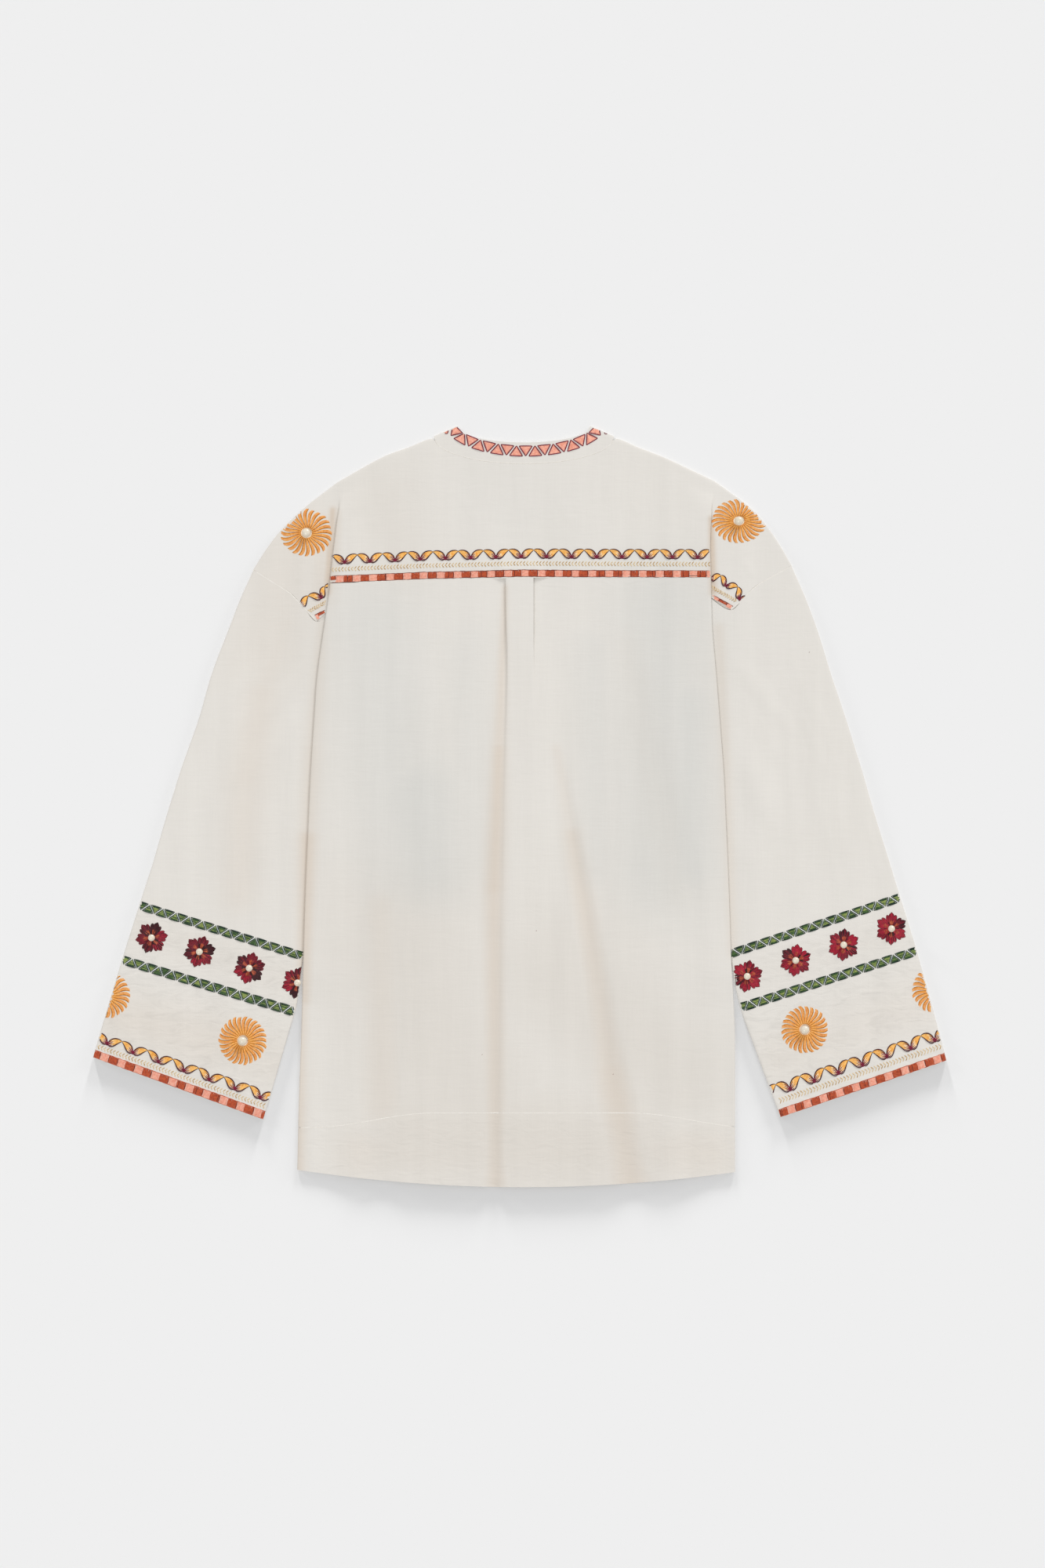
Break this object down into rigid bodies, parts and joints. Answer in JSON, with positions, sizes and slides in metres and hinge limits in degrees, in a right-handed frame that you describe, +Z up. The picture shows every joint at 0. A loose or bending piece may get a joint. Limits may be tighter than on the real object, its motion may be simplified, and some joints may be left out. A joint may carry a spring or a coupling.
{
  "type": "embroidered cotton blouse",
  "caption": "Loose cotton blouse laid flat with its back up, with wide sleeves, a yoke, a narrow neckband and folk embroidery on cuffs, yoke and neck.",
  "frame": {"origin": "on the floor, under the middle of the box round the laid-out blouse", "axes": "+X across the blouse, from the left sleeve to the right sleeve as seen in the picture; +Y from the hem to the neck; +Z up from the floor, out of the blouse's back"},
  "size_m": [0.8168, 0.7279, 0.0101],
  "materials": {
    "ivory_cotton": "plain woven cotton, soft and matt",
    "rust_satin_stitch": "embroidery thread in satin stitch, silky",
    "green_satin_stitch": "embroidery thread in satin stitch, silky",
    "crimson_satin_stitch": "embroidery thread in satin stitch, silky",
    "gold_satin_stitch": "embroidery thread in satin stitch, silky",
    "pearl_bead": "pearly bead, glossy"
  },
  "bodies": {
    "root": {"yoke": "ivory_cotton", "back_panel": "ivory_cotton", "hem_band_back": "ivory_cotton", "front_panel": "ivory_cotton", "hem_band_front": "ivory_cotton", "sleeve_left": "ivory_cotton", "sleeve_right": "ivory_cotton", "neckband": "ivory_cotton", "yoke_check_strip": "rust_satin_stitch", "cuff_check_left": "rust_satin_stitch", "cuff_check_right": "rust_satin_stitch", "green_band_lower_left": "green_satin_stitch", "green_band_upper_left": "green_satin_stitch", "green_band_lower_right": "green_satin_stitch", "green_band_upper_right": "green_satin_stitch", "flower_left_1": "crimson_satin_stitch", "flower_left_2": "crimson_satin_stitch", "flower_left_3": "crimson_satin_stitch", "flower_left_4": "crimson_satin_stitch", "flower_right_1": "crimson_satin_stitch", "flower_right_2": "crimson_satin_stitch", "flower_right_3": "crimson_satin_stitch", "flower_right_4": "crimson_satin_stitch", "sun_cuff_left": "gold_satin_stitch", "sun_cuff_right": "gold_satin_stitch", "sun_shoulder_left": "gold_satin_stitch", "sun_shoulder_right": "gold_satin_stitch", "sun_edge_left": "gold_satin_stitch", "sun_edge_right": "gold_satin_stitch", "pearl_left_1": "pearl_bead", "pearl_left_2": "pearl_bead", "pearl_left_3": "pearl_bead", "pearl_left_4": "pearl_bead", "pearl_right_1": "pearl_bead", "pearl_right_2": "pearl_bead", "pearl_right_3": "pearl_bead", "pearl_right_4": "pearl_bead", "pearl_cuff_left": "pearl_bead", "pearl_cuff_right": "pearl_bead", "pearl_shoulder_left": "pearl_bead", "pearl_shoulder_right": "pearl_bead"}
  },
  "joints": []
}
